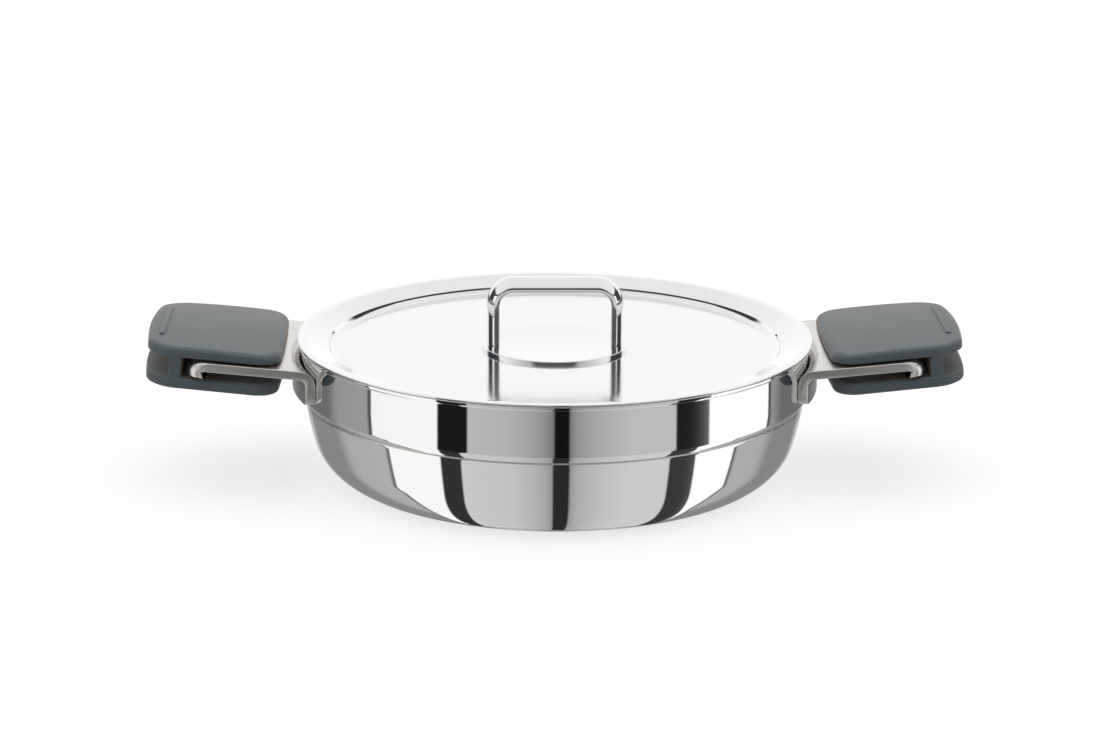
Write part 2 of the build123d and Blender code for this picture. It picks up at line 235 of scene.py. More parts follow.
def wall_centres(sizes):
    """Centres of the wall's arcs: foot of the band, long arc and base corner."""
    band_radius = rim_radius - sizes.bead_overhang
    step_radius = band_radius - sizes.step_depth
    foot_x = band_radius - sizes.band_foot
    foot = (foot_x, sizes.step_height + sqrt(sizes.band_foot ** 2 - (step_radius - foot_x) ** 2))
    long = (step_radius - sizes.wall_arc * cos(sizes.wall_tilt),
            sizes.step_height + sizes.wall_arc * sin(sizes.wall_tilt))
    reach = sizes.wall_arc - sizes.corner
    corner = (long[0] + sqrt(reach ** 2 - (long[1] - sizes.corner) ** 2), sizes.corner)
    return foot, long, corner


def crease_angles(sizes, inset):
    """Angles, on the foot arc and on the long arc, of the crease between them."""
    foot, long = wall_centres(sizes)[:2]
    span = hypot(foot[0] - long[0], foot[1] - long[1])
    long_radius = sizes.wall_arc - inset
    foot_radius = sizes.band_foot - inset
    along = (long_radius ** 2 - foot_radius ** 2 + span ** 2) / (2 * span)
    lean = degrees(acos(along / long_radius))
    on_long = angle_to(long, foot) - lean
    return angle_to(foot, on_arc(long, long_radius, on_long)), on_long


def corner_angle(sizes, inset, height):
    """Angle on the base corner's arc at one height."""
    return -degrees(asin((sizes.corner - height) / (sizes.corner - inset)))


def wall_skin(sizes, inset, start):
    """Points of the wall's skin, moved in by inset, from an angle on the corner up to the band's foot."""
    foot, long, corner = wall_centres(sizes)
    on_foot, on_long = crease_angles(sizes, inset)
    joint = angle_to(long, corner)
    points = arc(corner, sizes.corner - inset, start, joint)
    if inset:
        points += arc(long, sizes.wall_arc - inset, joint, on_long, step=0.5)[1:]
        return points + arc(foot, sizes.band_foot - inset, on_foot, 0, step=4.0)[1:]
    shoulder_run = 1.5 * sizes.crease_rounding
    shoulder_end = 60
    foot_cut = 5
    shoulder = on_long - degrees(shoulder_run / sizes.wall_arc)
    points += arc(long, sizes.wall_arc, joint, shoulder, step=0.5)[1:]
    centre = on_arc(long, sizes.wall_arc - sizes.crease_rounding, shoulder)
    points += arc(centre, sizes.crease_rounding, shoulder, shoulder_end, step=12.0)[1:]
    return points + arc(foot, sizes.band_foot, on_foot - foot_cut, 0, step=4.0)


def pan_profile(sizes):
    """Section of the pan, from the axis under the floor, over the rim and back to the axis."""
    band_radius = rim_radius - sizes.bead_overhang
    inner_radius = band_radius - sizes.wall
    crease = pan_top - sizes.bead_height
    outer = wall_skin(sizes, 0, corner_angle(sizes, 0, base_stack))
    rim = rounded(
        [(band_radius, crease - sizes.bead_height), (band_radius, crease), (rim_radius, crease),
         (rim_radius, pan_top), (inner_radius, pan_top), (inner_radius, crease)],
        [0, 0, sizes.bead_rounding, sizes.rim_rounding, sizes.rim_rounding, 0])
    floor = base_stack + sizes.wall
    corner = wall_centres(sizes)[2]
    fillet_z = floor + sizes.inside_corner
    gap = sizes.corner - sizes.wall - sizes.inside_corner
    fillet = (corner[0] + sqrt(gap ** 2 - (sizes.corner - fillet_z) ** 2), fillet_z)
    meeting = angle_to(corner, fillet)
    inner = wall_skin(sizes, sizes.wall, meeting)
    inner = arc(fillet, sizes.inside_corner, -90, meeting)[:-1] + inner
    first = (0, base_stack)
    last = (0, floor)
    floor_count = 8
    return ([first] + spread(first, outer[0], floor_count) + outer + rim + inner[::-1]
            + spread(inner[0], last, floor_count) + [last])


def cap_profile(sizes):
    """Section of the base cap, from its underside on the axis round its edge and back inside."""
    corner = wall_centres(sizes)[2]
    pitch = corner[0] / (sizes.ring_count + 1)
    under = [(0, 0)]
    for number in range(1, sizes.ring_count + 1):
        inside = number * pitch
        outside = inside + sizes.ring_width
        under += [(inside, 0), (inside, sizes.ring_depth), (outside, sizes.ring_depth), (outside, 0)]
    outer = arc(corner, sizes.corner, -90, corner_angle(sizes, 0, cap_edge))
    inner = arc(corner, sizes.corner - sizes.cap_sheet, corner_angle(sizes, sizes.cap_sheet, cap_edge), -90)
    return under + outer + inner + [(0, sizes.cap_sheet)]


def lid_line(sizes):
    """Top line of the lid, from the axis to the edge, as points and corner radii."""
    seat = lid_radius - sizes.lid_seat_width
    slope = seat - sizes.lid_flange_width
    panel = slope - sizes.lid_recess_slope
    points = [(0, panel_top), (panel, panel_top), (slope, lid_top - sizes.lid_flange_drop), (seat, lid_top),
              (lid_radius, lid_top)]
    return points, [0, sizes.lid_recess_foot, sizes.lid_recess_lip, sizes.lid_shoulder, 0]


def lid_profile(sizes):
    """Section of the lid: its top line, a rounded edge and the same line one sheet lower."""
    points, radii = lid_line(sizes)
    top = rounded(points, radii, step=4.0)
    lower = []
    for number, point in enumerate(top):
        before = Vector(top[max(number - 1, 0)])
        after = Vector(top[min(number + 1, len(top) - 1)])
        along = (after - before).normalized()
        lower.append(tuple(Vector(point) + Vector((along.y, -along.x)) * sizes.lid_sheet))
    edge_share = 0.4
    edge_rounding = sizes.lid_sheet * edge_share
    edge = rounded([top[-2], top[-1], lower[-1], lower[-2]], [0, edge_rounding, edge_rounding, 0])
    panel_count = 10
    return ([top[0]] + spread(top[0], top[1], panel_count) + top[1:-2] + edge + lower[1:-2][::-1]
            + spread(lower[1], lower[0], panel_count) + [lower[0]])


def disc_profile(sizes):
    """Section of the disc: underside, narrow rim and a shallow dish."""
    dish_edge = disc_radius - sizes.disc_rim_width
    rim = rounded([(disc_radius, panel_top), (disc_radius, disc_top), (dish_edge, disc_top)],
                  [0, sizes.disc_rounding, 0])
    dish_radius = (dish_edge ** 2 + sizes.disc_dish ** 2) / (2 * sizes.disc_dish)
    centre = (0, disc_top - sizes.disc_dish + dish_radius)
    dish = arc(centre, dish_radius, angle_to(centre, (dish_edge, disc_top)), -90, step=0.2)
    return [(0, panel_top)] + rim + dish[1:]


def new_tree(name, inputs):
    """Empty geometry tree with named inputs, its input node and its output node."""
    tree = bpy.data.node_groups.new(name, "GeometryNodeTree")
    for label, kind in inputs:
        tree.interface.new_socket(label, in_out="INPUT", socket_type=kind)
    tree.interface.new_socket("Geometry", in_out="OUTPUT", socket_type="NodeSocketGeometry")
    return tree, tree.nodes.new("NodeGroupInput"), tree.nodes.new("NodeGroupOutput")


def node(tree, kind, inputs=None, **settings):
    """Node with its settings made and its inputs linked or filled, by name or by number."""
    made = tree.nodes.new(kind)
    for key, value in settings.items():
        setattr(made, key, value)
    for key, value in (inputs or {}).items():
        if isinstance(value, bpy.types.NodeSocket):
            tree.links.new(value, made.inputs[key])
        else:
            made.inputs[key].default_value = value
    return made


def math(tree, operation, *values):
    """Output of a math node on sockets or numbers."""
    return node(tree, "ShaderNodeMath", dict(enumerate(values)), operation=operation).outputs[0]


def plus(tree, first, second):
    """Sum of two sockets or numbers."""
    return math(tree, "ADD", first, second)


def minus(tree, first, second):
    """First socket or number less the second."""
    return math(tree, "SUBTRACT", first, second)


def times(tree, first, second):
    """Product of two sockets or numbers."""
    return math(tree, "MULTIPLY", first, second)


def parts_of(tree, vector):
    """Outputs of a vector's X, Y and Z."""
    return tuple(node(tree, "ShaderNodeSeparateXYZ", {0: vector}).outputs)


def joined(tree, x, y, z):
    """Vector from its three parts."""
    return node(tree, "ShaderNodeCombineXYZ", {0: x, 1: y, 2: z}).outputs[0]


def finish_tree(tree, output, geometry, material):
    """Last nodes of every tree: instances made real, then the material."""
    real = node(tree, "GeometryNodeRealizeInstances", {0: geometry})
    painted = node(tree, "GeometryNodeSetMaterial", {"Geometry": real.outputs[0], "Material": material})
    tree.links.new(painted.outputs[0], output.inputs[0])


def turning_tree():
    """Tree that turns a section round the Z axis: a grid whose rows follow the section's points."""
    tree, given, output = new_tree("Turned piece", [
        ("Geometry", "NodeSocketGeometry"), ("Segments", "NodeSocketInt"),
        ("Seam", "NodeSocketFloat"), ("Material", "NodeSocketMaterial")])
    section = given.outputs["Geometry"]
    count = node(tree, "GeometryNodeAttributeDomainSize", {0: section}).outputs["Point Count"]
    columns = plus(tree, given.outputs["Segments"], 1)
    grid = node(tree, "GeometryNodeMeshGrid", {"Vertices X": count, "Vertices Y": columns})
    index = node(tree, "GeometryNodeInputIndex").outputs[0]
    row = math(tree, "FLOOR", math(tree, "DIVIDE", plus(tree, index, 0.5), columns))
    column = minus(tree, index, times(tree, row, columns))
    place = node(tree, "GeometryNodeInputPosition").outputs[0]
    sampled = node(tree, "GeometryNodeSampleIndex", {"Geometry": section, "Index": row},
                   data_type="FLOAT_VECTOR")
    tree.links.new(place, sampled.inputs["Value"])
    radius, level = parts_of(tree, sampled.outputs["Value"])[::2]
    turn = times(tree, math(tree, "DIVIDE", column, given.outputs["Segments"]), 2 * pi)
    target = joined(tree, times(tree, radius, math(tree, "COSINE", turn)),
                    times(tree, radius, math(tree, "SINE", turn)), level)
    moved = node(tree, "GeometryNodeSetPosition", {"Geometry": grid.outputs["Mesh"], "Position": target})
    merged = node(tree, "GeometryNodeMergeByDistance",
                  {"Geometry": moved.outputs[0], "Distance": given.outputs["Seam"]})
    finish_tree(tree, output, merged.outputs[0], given.outputs["Material"])
    return tree


def strap_tree():
    """Tree that runs a closed section along an open path that lies square to the Y axis."""
    tree, given, output = new_tree("Strap along a path", [
        ("Geometry", "NodeSocketGeometry"), ("Section", "NodeSocketObject"),
        ("Material", "NodeSocketMaterial")])
    path = node(tree, "GeometryNodeMeshToCurve", {0: given.outputs["Geometry"]}).outputs[0]
    upright = node(tree, "GeometryNodeSetCurveNormal", {"Curve": path}, mode="FREE")
    upright.inputs["Normal"].default_value = (0, 1, 0)
    section = node(tree, "GeometryNodeObjectInfo", {"Object": given.outputs["Section"]})
    outline = node(tree, "GeometryNodeMeshToCurve", {0: section.outputs["Geometry"]}).outputs[0]
    strap = node(tree, "GeometryNodeCurveToMesh",
                 {"Curve": upright.outputs[0], "Profile Curve": outline, "Fill Caps": True})
    finish_tree(tree, output, strap.outputs[0], given.outputs["Material"])
    return tree


def linked(name, data):
    """Object on its data, linked into the scene."""
    made = bpy.data.objects.new(name, data)
    bpy.context.scene.collection.objects.link(made)
    return made


def line_object(name, points, closed=False):
    """Helper object whose mesh is a line of edges through points."""
    mesh = bpy.data.meshes.new(name)
    edges = [(number, number + 1) for number in range(len(points) - 1)]
    if closed:
        edges.append((len(points) - 1, 0))
    mesh.from_pydata([tuple(point) for point in points], edges, [])
    return linked(name, mesh)


def grown(helper, tree, values, name, smooth_angle=radians(22)):
    """Object made by a tree on a helper's mesh: the result is a plain mesh with its normals outwards."""
    modifier = helper.modifiers.new(tree.name, "NODES")
    modifier.node_group = tree
    for item in tree.interface.items_tree:
        if item.item_type == "SOCKET" and item.in_out == "INPUT" and item.name in values:
            modifier[item.identifier] = values[item.name]
    piece = settled(helper, name)
    clean_normals(piece.data)
    smooth(piece.data, smooth_angle)
    return piece


def settled(source, name):
    """Object whose mesh is a source object's evaluated one; the source is deleted."""
    graph = bpy.context.evaluated_depsgraph_get()
    mesh = bpy.data.meshes.new_from_object(source.evaluated_get(graph))
    mesh.name = name
    old = source.data
    bpy.data.objects.remove(source)
    bpy.data.meshes.remove(old)
    return linked(name, mesh)


def clean_normals(mesh):
    """Merges doubles and points every face outwards."""
    work = bmesh.new()
    work.from_mesh(mesh)
    bmesh.ops.remove_doubles(work, verts=work.verts, dist=seam)
    bmesh.ops.recalc_face_normals(work, faces=work.faces)
    work.to_mesh(mesh)
    work.free()


def smooth(mesh, angle):
    """Smooth shading with sharp edges past an angle."""
    mesh.shade_smooth()
    mesh.set_sharp_from_angle(angle=angle)


def paint(piece, *materials):
    """Gives a piece its materials in place of any that it has."""
    piece.data.materials.clear()
    for material in materials:
        piece.data.materials.append(material)


def dress(piece, body, slot, *nodes):
    """Puts a finished piece on its body and hides the CAD nodes that it stands for; the slot is not used."""
    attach(piece, body)
    if nodes:
        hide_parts(*nodes)


def both_sides(mesh, material, label, slot, part, body=None):
    """Right piece from a mesh, and left piece from it turned half round, on one body or each on its own."""
    turned = mesh.copy()
    turned.transform(Matrix.Rotation(pi, 4, "Z"))
    for side, shape in (("right", mesh), ("left", turned)):
        piece = linked(f"{side}_{label}", shape)
        paint(piece, material)
        dress(piece, body or f"{side}_{part}", slot, f"{side}_{part}")


def bridge(work, rows):
    """Faces between closed rows of equal count."""
    count = len(rows[0])
    for near, far in zip(rows, rows[1:]):
        for number in range(count):
            ahead = (number + 1) % count
            work.faces.new((near[number], near[ahead], far[ahead], far[number]))


def outward_mesh(work, name, angle):
    """Mesh of built faces with normals outwards, smooth up to an angle in degrees."""
    bmesh.ops.recalc_face_normals(work, faces=work.faces)
    mesh = bpy.data.meshes.new(name)
    work.to_mesh(mesh)
    work.free()
    smooth(mesh, radians(angle))
    return mesh


def turned_piece(name, profile, sizes, material):
    """Turned piece from its section, by the turning tree."""
    helper = line_object(name + "_section", [(radius, 0, height) for radius, height in profile])
    tree = bpy.data.node_groups.get("Turned piece") or turning_tree()
    return grown(helper, tree, {"Segments": sizes.segments, "Seam": seam, "Material": material}, name)


def new_material(name, base, metallic, roughness):
    """Material with a surface shader whose plain values are set on its own sockets."""
    material = bpy.data.materials.get(name + "_finish")
    if material:
        return material, None, None
    material = bpy.data.materials.new(name + "_finish")
    material.use_nodes = True
    tree = material.node_tree
    shader = tree.nodes["Principled BSDF"]
    shader.inputs["Base Color"].default_value = (*base, 1)
    shader.inputs["Metallic"].default_value = metallic
    shader.inputs["Roughness"].default_value = roughness
    return material, tree, shader


def object_place(tree, scale=(1, 1, 1)):
    """Object coordinates, stretched by a scale."""
    place = node(tree, "ShaderNodeTexCoord").outputs["Object"]
    return node(tree, "ShaderNodeMapping", {"Vector": place, "Scale": scale}).outputs[0]


def turned_place(tree, round_scale, radius_scale):
    """Coordinates round the Z axis for lathe marks: turn, radius and height, each with its own scale."""
    place = node(tree, "ShaderNodeTexCoord").outputs["Object"]
    x, y, z = parts_of(tree, place)
    radius = math(tree, "SQRT", plus(tree, times(tree, x, x), times(tree, y, y)))
    flat = joined(tree, x, y, 0.0)
    unit = node(tree, "ShaderNodeVectorMath", {0: flat}, operation="NORMALIZE").outputs[0]
    turn_x, turn_y, level = parts_of(tree, unit)
    return joined(tree, times(tree, turn_x, round_scale), times(tree, turn_y, round_scale),
                  times(tree, plus(tree, radius, z), radius_scale))


def noise(tree, vector, scale=1.0, detail=3.0, rough=0.55):
    """Output of a noise texture."""
    return node(tree, "ShaderNodeTexNoise",
                {"Vector": vector, "Scale": scale, "Detail": detail, "Roughness": rough}).outputs["Fac"]


def spanned(tree, value, low, high, start=0.0, end=1.0):
    """A value between 0 and 1 mapped to another span."""
    return node(tree, "ShaderNodeMapRange", {
        "Value": value, "From Min": start, "From Max": end, "To Min": low, "To Max": high}).outputs[0]


def bumped(tree, shader, height, distance, strength=1.0):
    """Links a height field to a shader as bump."""
    bump = node(tree, "ShaderNodeBump", {"Height": height, "Distance": distance, "Strength": strength})
    tree.links.new(bump.outputs[0], shader.inputs["Normal"])


def tinted(tree, shader, value, base, low, high):
    """Base colour that varies in lightness with a value."""
    ramp = node(tree, "ShaderNodeValToRGB", {"Fac": value})
    ramp.color_ramp.elements[0].color = (*[channel * low for channel in base], 1)
    ramp.color_ramp.elements[1].color = (*[min(1.0, channel * high) for channel in base], 1)
    tree.links.new(ramp.outputs[0], shader.inputs["Base Color"])


def lathe_lines(round_scale, radius_scale, detail=5.0, rough=0.7):
    """Grain of fine circles, made in a material's tree when it is called with one."""
    return lambda tree: noise(tree, turned_place(tree, round_scale, radius_scale), 1.0, detail, rough)


def mottling(scale, detail, rough=0.55, stretch=(1, 1, 1)):
    """Grain on object coordinates, stretched where asked, made when it is called with a tree."""
    return lambda tree: noise(tree, object_place(tree, stretch), scale, detail, rough)


def metal(name, finish, plain, rough, tint, grain, tint_grain=None, bump=()):
    """Metal whose roughness, lightness and bump follow a grain; the lightness may have its own."""
    colour = getattr(bpy.context.scene.pan_finishes, finish)
    material, tree, shader = new_material(name, colour, 1.0, plain)
    if tree:
        fine = grain(tree)
        tree.links.new(spanned(tree, fine, *rough), shader.inputs["Roughness"])
        tinted(tree, shader, tint_grain(tree) if tint_grain else fine, colour, *tint)
        if bump:
            bumped(tree, shader, fine, *bump)
    return material


# Depth and strength of the bumps
line_bump = (0.00003, 1.0)
peel_bump = (0.000003, 0.3)
skin_bump = (0.00003, 0.5)
# Grain and lightness span of both polishes
polish_lines = lathe_lines(6.0, 900.0, detail=4.0, rough=0.55)
polish_tint = (0.985, 1.015)


def polished_steel():
    """Mirror-polished steel with a faint orange peel and the odd hairline."""
    return metal("polished_steel", "steel", plain=0.04, rough=(0.01, 0.05), tint=polish_tint,
                 grain=polish_lines, tint_grain=mottling(28.0, 2.0), bump=peel_bump)


def soft_polish():
    """Softer polish of the lid's panel, in which reflections fade."""
    return metal("soft_polish", "steel", plain=0.1, rough=(0.08, 0.13), tint=polish_tint, grain=polish_lines)


def satin_inside():
    """Satin finish inside the pan and under the lid, turned in fine circles."""
    return metal("satin_inside", "brushed", plain=0.32, rough=(0.24, 0.42), tint=(0.94, 1.05),
                 grain=lathe_lines(9.0, 2600.0), bump=line_bump)


def brushed_steel():
    """Steel plate brushed along the handles."""
    return metal("brushed_plate", "brushed", plain=0.3, rough=(0.2, 0.36), tint=(0.93, 1.06),
                 grain=mottling(1.0, 5.0, 0.65, stretch=(26.0, 1900.0, 1900.0)),
                 tint_grain=mottling(1.0, 2.0, stretch=(12.0, 90.0, 90.0)), bump=line_bump)


def turned_base():
    """Underside of the base, faced on a lathe."""
    return metal("turned_base", "brushed", plain=0.26, rough=(0.1, 0.3), tint=(0.93, 1.05),
                 grain=lathe_lines(3.0, 2200.0), bump=line_bump)


def pressed_aluminium():
    """Plain pressed aluminium of the heat spreader."""
    return metal("pressed_aluminium", "aluminium", plain=0.4, rough=(0.34, 0.5), tint=(0.95, 1.04),
                 grain=mottling(700.0, 3.0))


def grip_silicone():
    """Matte slate silicone with a dry skin and faint mottling."""
    colour = bpy.context.scene.pan_finishes.silicone
    material, tree, shader = new_material("grip_silicone", colour, 0.0, 0.56)
    if tree:
        for label, value in (("Weight", 0.4), ("Roughness", 0.4), ("Tint", (1.0, 0.86, 0.74, 1.0))):
            shader.inputs["Sheen " + label].default_value = value
        grain = mottling(2600.0, 3.0, 0.6)(tree)
        broad = mottling(60.0, 3.0)(tree)
        tree.links.new(spanned(tree, broad, 0.5, 0.62), shader.inputs["Roughness"])
        tinted(tree, shader, broad, colour, 0.95, 1.05)
        bumped(tree, shader, grain, *skin_bump)
    return material


def split_finish(piece, finishes, choice):
    """Several finishes on one piece: a test gives each face the number of its finish."""
    paint(piece, *finishes)
    for face in piece.data.polygons:
        face.material_index = choice(face)


class PAN_OT_body(bpy.types.Operator):
    """Make the pan with its stepped wall, and the cap and spreader under it"""
    bl_idname = "pan.body"
    bl_label = "Pan and base"

    def execute(self, context):
        sizes = context.scene.pan_sizes
        pan = turned_piece("pan", pan_profile(sizes), sizes, polished_steel())
        rim_inside = rim_radius - sizes.bead_overhang - sizes.wall / 2

        def is_inside(face):
            radius = hypot(face.center.x, face.center.y)
            inward = face.normal.x * face.center.x + face.normal.y * face.center.y < 0
            return int(radius < rim_inside and (inward or face.normal.z > 0))

        split_finish(pan, (polished_steel(), satin_inside()), is_inside)
        dress(pan, "pan", "polished_steel", "pan_body")
        cap = turned_piece("base_cap_turned", cap_profile(sizes), sizes, turned_base())
        dress(cap, "pan", "base_steel", "base_cap")
        paint(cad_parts["heat_spreader"], pressed_aluminium())
        return {"FINISHED"}


class PAN_OT_lid(bpy.types.Operator):
    """Make the pressed lid"""
    bl_idname = "pan.lid"
    bl_label = "Lid"

    def execute(self, context):
        sizes = context.scene.pan_sizes
        lid = turned_piece("lid_pressed", lid_profile(sizes), sizes, polished_steel())
        rings = (sizes.lid_seat_width, sizes.lid_flange_width, sizes.lid_recess_slope, sizes.lid_recess_foot)
        panel_radius = lid_radius - sum(rings)
        looks_down = -0.3
        looks_up = 0.9

        def side_or_panel(face):
            if face.normal.z < looks_down:
                return 1
            on_panel = hypot(face.center.x, face.center.y) < panel_radius and face.normal.z > looks_up
            return 2 if on_panel else 0

        split_finish(lid, (polished_steel(), satin_inside(), soft_polish()), side_or_panel)
        dress(lid, "lid", "lid_steel", "lid")
        return {"FINISHED"}


def strap_path(handle, thickness):
    """Points of the strap's inner face: up one leg, over the top and down the other."""
    sunk_share = 0.6
    leg = bail_half_width - thickness
    foot = disc_top - handle.disc_dish * sunk_share
    top = bail_top - thickness
    corner = handle.strap_inner_corner
    return rounded([(-leg, foot), (-leg, top), (leg, top), (leg, foot)], [0, corner, corner, 0], step=3.0)


def strap_outline(handle, thickness):
    """Section of the strap: flat inside and domed outside, with rounded edges."""
    dome_radius = (bail_half_depth ** 2 + handle.strap_dome ** 2) / (2 * handle.strap_dome)
    centre = (0, thickness - dome_radius)
    start = angle_to(centre, (bail_half_depth, handle.strap_edge))
    dome = arc(centre, dome_radius, start, 180 - start, step=3.0)
    radius = handle.strap_rounding
    return rounded([(-bail_half_depth, 0), (bail_half_depth, 0), *dome],
                   [radius, radius, radius, *[0] * (len(dome) - 2), radius], closed=True, step=20.0)


class PAN_OT_lid_handle(bpy.types.Operator):
    """Make the strap handle of the lid and the dished disc under it"""
    bl_idname = "pan.lid_handle"
    bl_label = "Lid handle"

    def execute(self, context):
        sizes = context.scene.pan_sizes
        handle = context.scene.pan_handle_sizes
        disc = turned_piece("handle_disc", disc_profile(handle), sizes, polished_steel())
        dress(disc, "lid", "lid_steel", "lid_handle_disc")
        thickness = handle.strap_edge + handle.strap_dome
        path = line_object("strap_path", [(x, 0, z) for x, z in strap_path(handle, thickness)])
        outline = strap_outline(handle, thickness)
        section = line_object("strap_section", [(x, y, 0) for x, y in outline], closed=True)
        strap = grown(path, strap_tree(), {"Section": section, "Material": polished_steel()},
                      "lid_strap", radians(15))
        bpy.data.objects.remove(section)
        dress(strap, "lid", "lid_steel", "lid_handle")
        return {"FINISHED"}


def arc_fall(place, limit, radius):
    """How far an outline with a round corner falls back at a place near its limit."""
    past = max(0.0, abs(place) - (limit - radius))
    return radius - sqrt(max(0.0, radius ** 2 - past ** 2))


def plate_section(handle, grip, y, inset=0.0):
    """Side view of a side handle at one place across it: plate, lip and flange, in world X and Z."""
    inner_radius = rim_radius - bpy.context.scene.pan_sizes.bead_overhang + handle.weld_gap
    inner = sqrt(inner_radius ** 2 - y ** 2)
    outer = sqrt((inner_radius + handle.sheet) ** 2 - y ** 2)
    rise, lean = grip.plate_rise, tan(handle.lip_lean)
    end = handle.length - arc_fall(y, handle.half_width, handle.corner)
    depth = handle.lip_depth - arc_fall(y, handle.half_width, handle.lip_corner)
    depth = max(depth, handle.sheet + handle.plate_edge)
    across = handle.lip_sheet / cos(handle.lip_lean)
    foot = handle.flange_foot + arc_fall(y, handle.half_width, handle.flange_corner)

    def placed(x, z):
        return (grip.plate_root + x * cos(rise) - z * sin(rise),
                grip.plate_level + x * sin(rise) + z * cos(rise))

    def plate_level(x, z):
        return grip.plate_level + (x - grip.plate_root) * tan(rise) + z / cos(rise)

    tip = handle.plate_edge
    corners = [(inner, foot), (inner, plate_level(inner, 0)), placed(end, 0),
               placed(end - depth * lean, -depth), placed(end - depth * lean - across, -depth),
               placed(end - handle.sheet * lean - across, -handle.sheet),
               (outer, plate_level(outer, -handle.sheet)), (outer, foot)]
    radii = [tip, handle.flange_bend + handle.sheet, handle.lip_bend + handle.sheet, tip, tip,
             handle.lip_bend, handle.flange_bend, tip]
    outline = [Vector(point) for point in rounded(corners, radii, closed=True, step=10.0)]
    return [point - normal * inset for point, normal in with_normals(outline[::-1])]


def plate_mesh(handle, grip):
    """Mesh of the right side handle: its section carried across from one eased side to the other."""
    edge, wide, corner = handle.plate_edge, handle.half_width, handle.corner
    pitch = 0.004
    corner_steps = 10
    edge_share = 0.96
    places = [(number * pitch, 0.0) for number in range(int((wide - corner) / pitch) + 1)]
    last_turn = asin((corner - edge) / corner)
    places += [(wide - corner + corner * sin(last_turn * number / corner_steps), 0.0)
               for number in range(1, corner_steps + 1)]
    places += [(wide - edge + edge * sin(radians(turn)), edge * edge_share * (1 - cos(radians(turn))))
               for turn in (22.5, 45, 67.5, 90)]
    stations = [(-y, inset) for y, inset in places[:0:-1]] + places
    work = bmesh.new()
    rows = [[work.verts.new((point.x, y, point.y)) for point in plate_section(handle, grip, y, inset)]
            for y, inset in stations]
    bridge(work, rows)
    for end in (rows[0], rows[-1]):
        work.faces.new(end)
    return outward_mesh(work, "plate", 35)


class PAN_OT_side_handles(bpy.types.Operator):
    """Make the two brushed plate handles with eased edges"""
    bl_idname = "pan.side_handles"
    bl_label = "Side handles"

    def execute(self, context):
        mesh = plate_mesh(context.scene.pan_handle_sizes, context.scene.pan_grip_sizes)
        both_sides(mesh, brushed_steel(), "plate_eased", "brushed_steel", "handle", "pan")
        return {"FINISHED"}


def with_normals(points):
    """Points of a closed outline that runs anticlockwise, each with its outward direction."""
    count = len(points)
    along = [(points[(number + 1) % count] - points[number - 1]).normalized() for number in range(count)]
    return [(point, Vector((tangent.y, -tangent.x))) for point, tangent in zip(points, along)]


def fine_outline(corners, radii, longest):
    """Rounded outline whose straight runs are cut to steps no longer than given."""
    outline = rounded(corners, radii, closed=True, step=6.0)
    points = []
    for number, point in enumerate(outline):
        following = outline[(number + 1) % len(outline)]
        count = int(hypot(following[0] - point[0], following[1] - point[1]) / longest)
        points += [point, *spread(point, following, count)]
    return [Vector(point) for point in points]


# Longest straight steps of the grips' outlines
fine_step = 0.003
web_step = 0.01


def grip_plan(sizes):
    """Plan outline of both pads: bowed ends, and sides that close in outwards."""
    inner = sizes.start + sizes.start_bulge
    outer = sizes.end - sizes.end_bulge
    wide = sizes.half_width
    narrow = wide - sizes.taper
    radii = [sizes.inner_corner, sizes.outer_corner, sizes.outer_corner, sizes.inner_corner]
    corners = [(inner, -wide), (outer, -narrow), (outer, narrow), (inner, wide)]
    points = fine_outline(corners, radii, fine_step)
    for point in points:
        share = (outer - point.x) / (outer - inner)
        bow_out = sizes.end_bulge * (1 - share) * (1 - (point.y / narrow) ** 2)
        bow_in = sizes.start_bulge * share * (1 - (point.y / wide) ** 2)
        point.x += bow_out - bow_in
    return with_normals(points)


def crown_level(sizes, point):
    """Level of the upper pad's crown over a plan point."""
    half_length = (sizes.end - sizes.start) / 2
    along = (point.x - sizes.start - half_length) / half_length
    across = point.y / sizes.half_width
    return sizes.crest - sizes.crown_across * across ** 2 - sizes.crown_along * along ** 2


def edge_rings(plan, level, rounding, sign):
    """Rings from a face down its rounded edge: sign is 1 for an upper face and -1 for a lower one."""
    support = 0.0004
    steps = 5
    rings = [[(point - normal * (rounding(normal) + support), 0) for point, normal in plan]]
    for step in range(steps + 1):
        turn = pi / 2 * (1 - step / steps)
        back, down = 1 - cos(turn), 1 - sin(turn)
        rings.append([(point - normal * rounding(normal) * back, rounding(normal) * down)
                      for point, normal in plan])
    return [[(*point, level(point) - sign * drop) for point, drop in ring] for ring in rings]


def face_rings(ring, level, middle):
    """Rings that fill a face from its edge towards its middle, and the middle point."""
    rings = []
    for share in (0.25, 0.5, 0.75):
        places = [Vector(point[:2]).lerp(middle, share) for point in ring]
        rings.append([(*place, level(place)) for place in places])
    return rings, (*middle, level(middle))


def add_skin(work, rings, first, last):
    """Skin over rings of equal count, closed by a point at each end."""
    rows = [[work.verts.new(point) for point in ring] for ring in rings]
    bridge(work, rows)
    for row, tip in ((rows[0], work.verts.new(first)), (rows[-1], work.verts.new(last))):
        for near, far in zip(row, row[1:] + row[:1]):
            work.faces.new((near, far, tip))


def add_pad(work, plan, low, high, low_rounding, high_rounding, middle, tray=()):
    """Closed pad between a lower and an upper face, with a tray sunk in the upper one if rings are given."""
    bottom = edge_rings(plan, low, low_rounding, -1)
    top = edge_rings(plan, high, high_rounding, 1)[::-1] + list(tray)
    under, first = face_rings(bottom[0], low, middle)
    floor = (lambda place: tray[-1][0][2]) if tray else high
    over, last = face_rings(top[-1], floor, middle)
    add_skin(work, under[::-1] + bottom + top + over, first, last)


